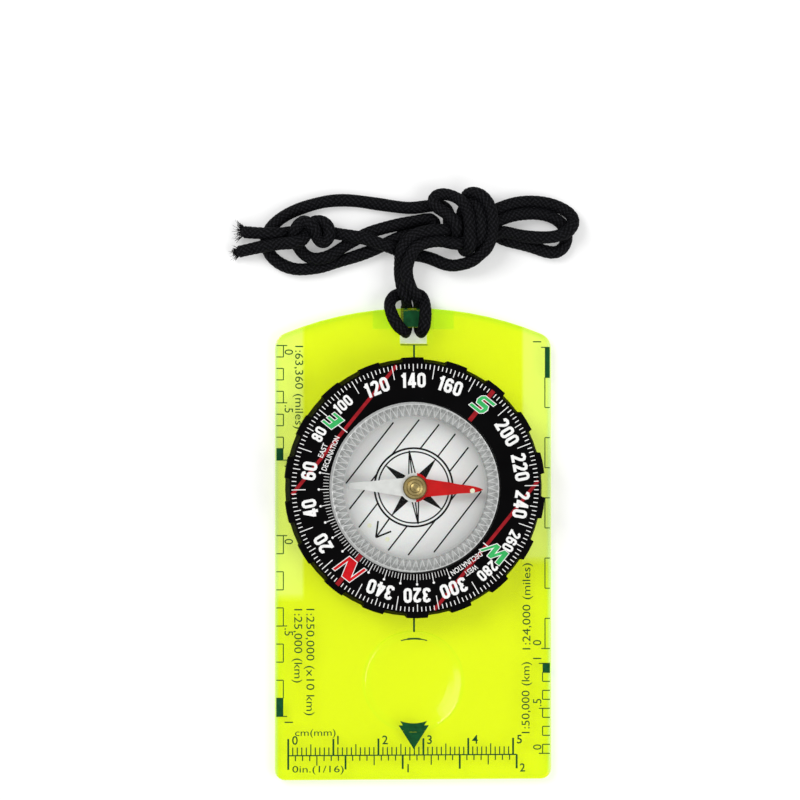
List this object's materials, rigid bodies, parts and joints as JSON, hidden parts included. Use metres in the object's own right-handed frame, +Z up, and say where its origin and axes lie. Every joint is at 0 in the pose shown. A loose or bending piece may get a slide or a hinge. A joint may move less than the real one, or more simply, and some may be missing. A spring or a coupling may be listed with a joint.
{
  "type": "baseplate compass",
  "caption": "Clear plastic baseplate compass with a turning azimuth ring, an adjustable capsule, a magnetic needle, a moulded magnifier and a braided neck cord.",
  "frame": {"origin": "the middle of the plate's outline, on its flat underside", "axes": "+Y along the plate towards the lanyard bar, +X to the right seen from the dial side, +Z up out of the dial"},
  "size_m": [0.0758, 0.1314, 0.0105],
  "materials": {
    "plate_plastic": "clear fluorescent yellow-green, polished",
    "bezel_plastic": "black, fine satin",
    "retainer_plastic": "black, satin",
    "spring_steel": "bright wire",
    "clear_plastic": "clear, polished, ribbed at the edge",
    "seal_rubber": "black, matte",
    "milky_plastic": "translucent milky grey",
    "plug_plastic": "white, satin",
    "needle_paint": "red at the north end and white at the south end",
    "hub_brass": "turned, bright rings",
    "pivot_steel": "ground and polished",
    "jewel": "polished",
    "braid": "black braided cord",
    "plate_print": "dark green ink seen through the plate",
    "dial_print": "white ink",
    "red_print": "red ink",
    "green_print": "green ink",
    "black_print": "black ink",
    "luminous_paint": "cream luminous paint"
  },
  "bodies": {
    "baseplate": {"baseplate": "plate_plastic", "drag_ring": "spring_steel", "lanyard_bight": "braid", "lanyard_left_leg": "braid", "lanyard_right_leg": "braid", "lanyard_big_knot": "braid", "lanyard_right_loops": "braid", "lanyard_left_loop": "braid", "lanyard_upper_lead": "braid", "lanyard_lower_lead": "braid", "lanyard_end_knot": "braid", "lanyard_upper_tail": "braid", "lanyard_lower_tail": "braid"},
    "bezel": {"bezel_ring": "bezel_plastic", "bezel_retainer": "retainer_plastic", "declination_friction_ring": "seal_rubber"},
    "capsule": {"capsule_cup": "clear_plastic", "capsule_crown": "clear_plastic", "crown_gasket": "seal_rubber", "orienting_disc": "milky_plastic", "fill_plug": "plug_plastic", "pivot_post": "hub_brass", "pivot_pin": "pivot_steel"},
    "needle": {"needle_blade": "needle_paint", "needle_hub": "hub_brass", "jewel_cup": "jewel"}
  },
  "joints": [
    {"name": "bezel_turn", "type": "hinge", "parent": "baseplate", "child": "bezel", "pos_m": [0, 0.0125, 0], "axis": [0, 0, 1], "continuous": true},
    {"name": "declination_adjust", "type": "hinge", "parent": "bezel", "child": "capsule", "pos_m": [0, 0.0125, 0], "axis": [0, 0, 1], "range_deg": [-60, 60]},
    {"name": "needle_swing", "type": "hinge", "parent": "capsule", "child": "needle", "pos_m": [0, 0.0125, 0], "axis": [0, 0, 1], "continuous": true}
  ]
}
